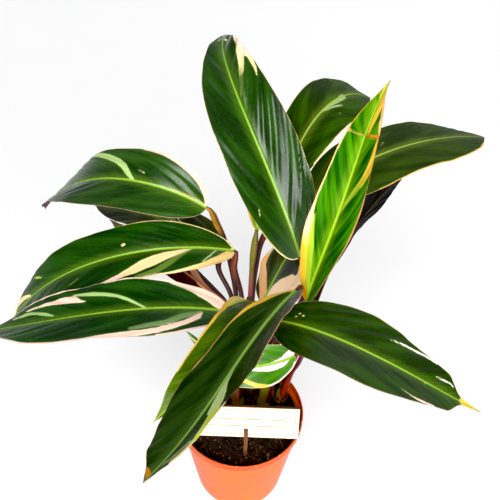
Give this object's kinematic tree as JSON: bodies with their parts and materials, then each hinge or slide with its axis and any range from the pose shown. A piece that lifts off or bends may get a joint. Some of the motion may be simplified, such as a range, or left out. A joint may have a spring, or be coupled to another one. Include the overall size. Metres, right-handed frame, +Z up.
{
  "type": "potted prayer plant",
  "caption": "Stromanthe with long cream-splashed, dark green leaves on burgundy stalks, growing from a tapered nursery pot with a plain wooden name plaque.",
  "frame": {"origin": "centre of the pot's flat bottom", "axes": "+Z up along the pot's axis, -Y towards the front, where the plaque stands, +X to the right seen from the front"},
  "size_m": [0.4325, 0.411, 0.4247],
  "materials": {
    "pot_plastic": "thin moulded orange plastic with a soft sheen",
    "potting_soil": "dark crumbly peat mix with fibres and specks of perlite",
    "tag_plywood": "pale sanded plywood with a browned cut edge",
    "stake_wood": "rough dark brown wooden stake",
    "petiole": "smooth burgundy stalks with olive to orange swellings under the blades",
    "leaf_mature": "glossy dark green splashed with cream, pale green and pink, burgundy underneath",
    "leaf_young": "glossy lime green with darker stripes and yellow to cream margins"
  },
  "bodies": {
    "root": {"pot": "pot_plastic", "soil": "potting_soil", "tag_plaque": "tag_plywood", "tag_stake": "stake_wood", "stems_left": "petiole", "stems_centre": "petiole", "stems_right": "petiole", "stems_low": "petiole", "leaf_01": "leaf_mature", "leaf_02": "leaf_mature", "leaf_03": "leaf_young", "leaf_04": "leaf_mature", "leaf_05": "leaf_mature", "leaf_06": "leaf_mature", "leaf_07": "leaf_mature", "leaf_08": "leaf_mature", "leaf_09": "leaf_mature", "leaf_10": "leaf_mature", "leaf_11": "leaf_mature", "leaf_12": "leaf_mature", "leaf_13": "leaf_mature", "leaf_14": "leaf_mature", "leaf_15": "leaf_mature", "leaf_16": "leaf_mature", "leaf_spear": "leaf_young"}
  },
  "joints": []
}
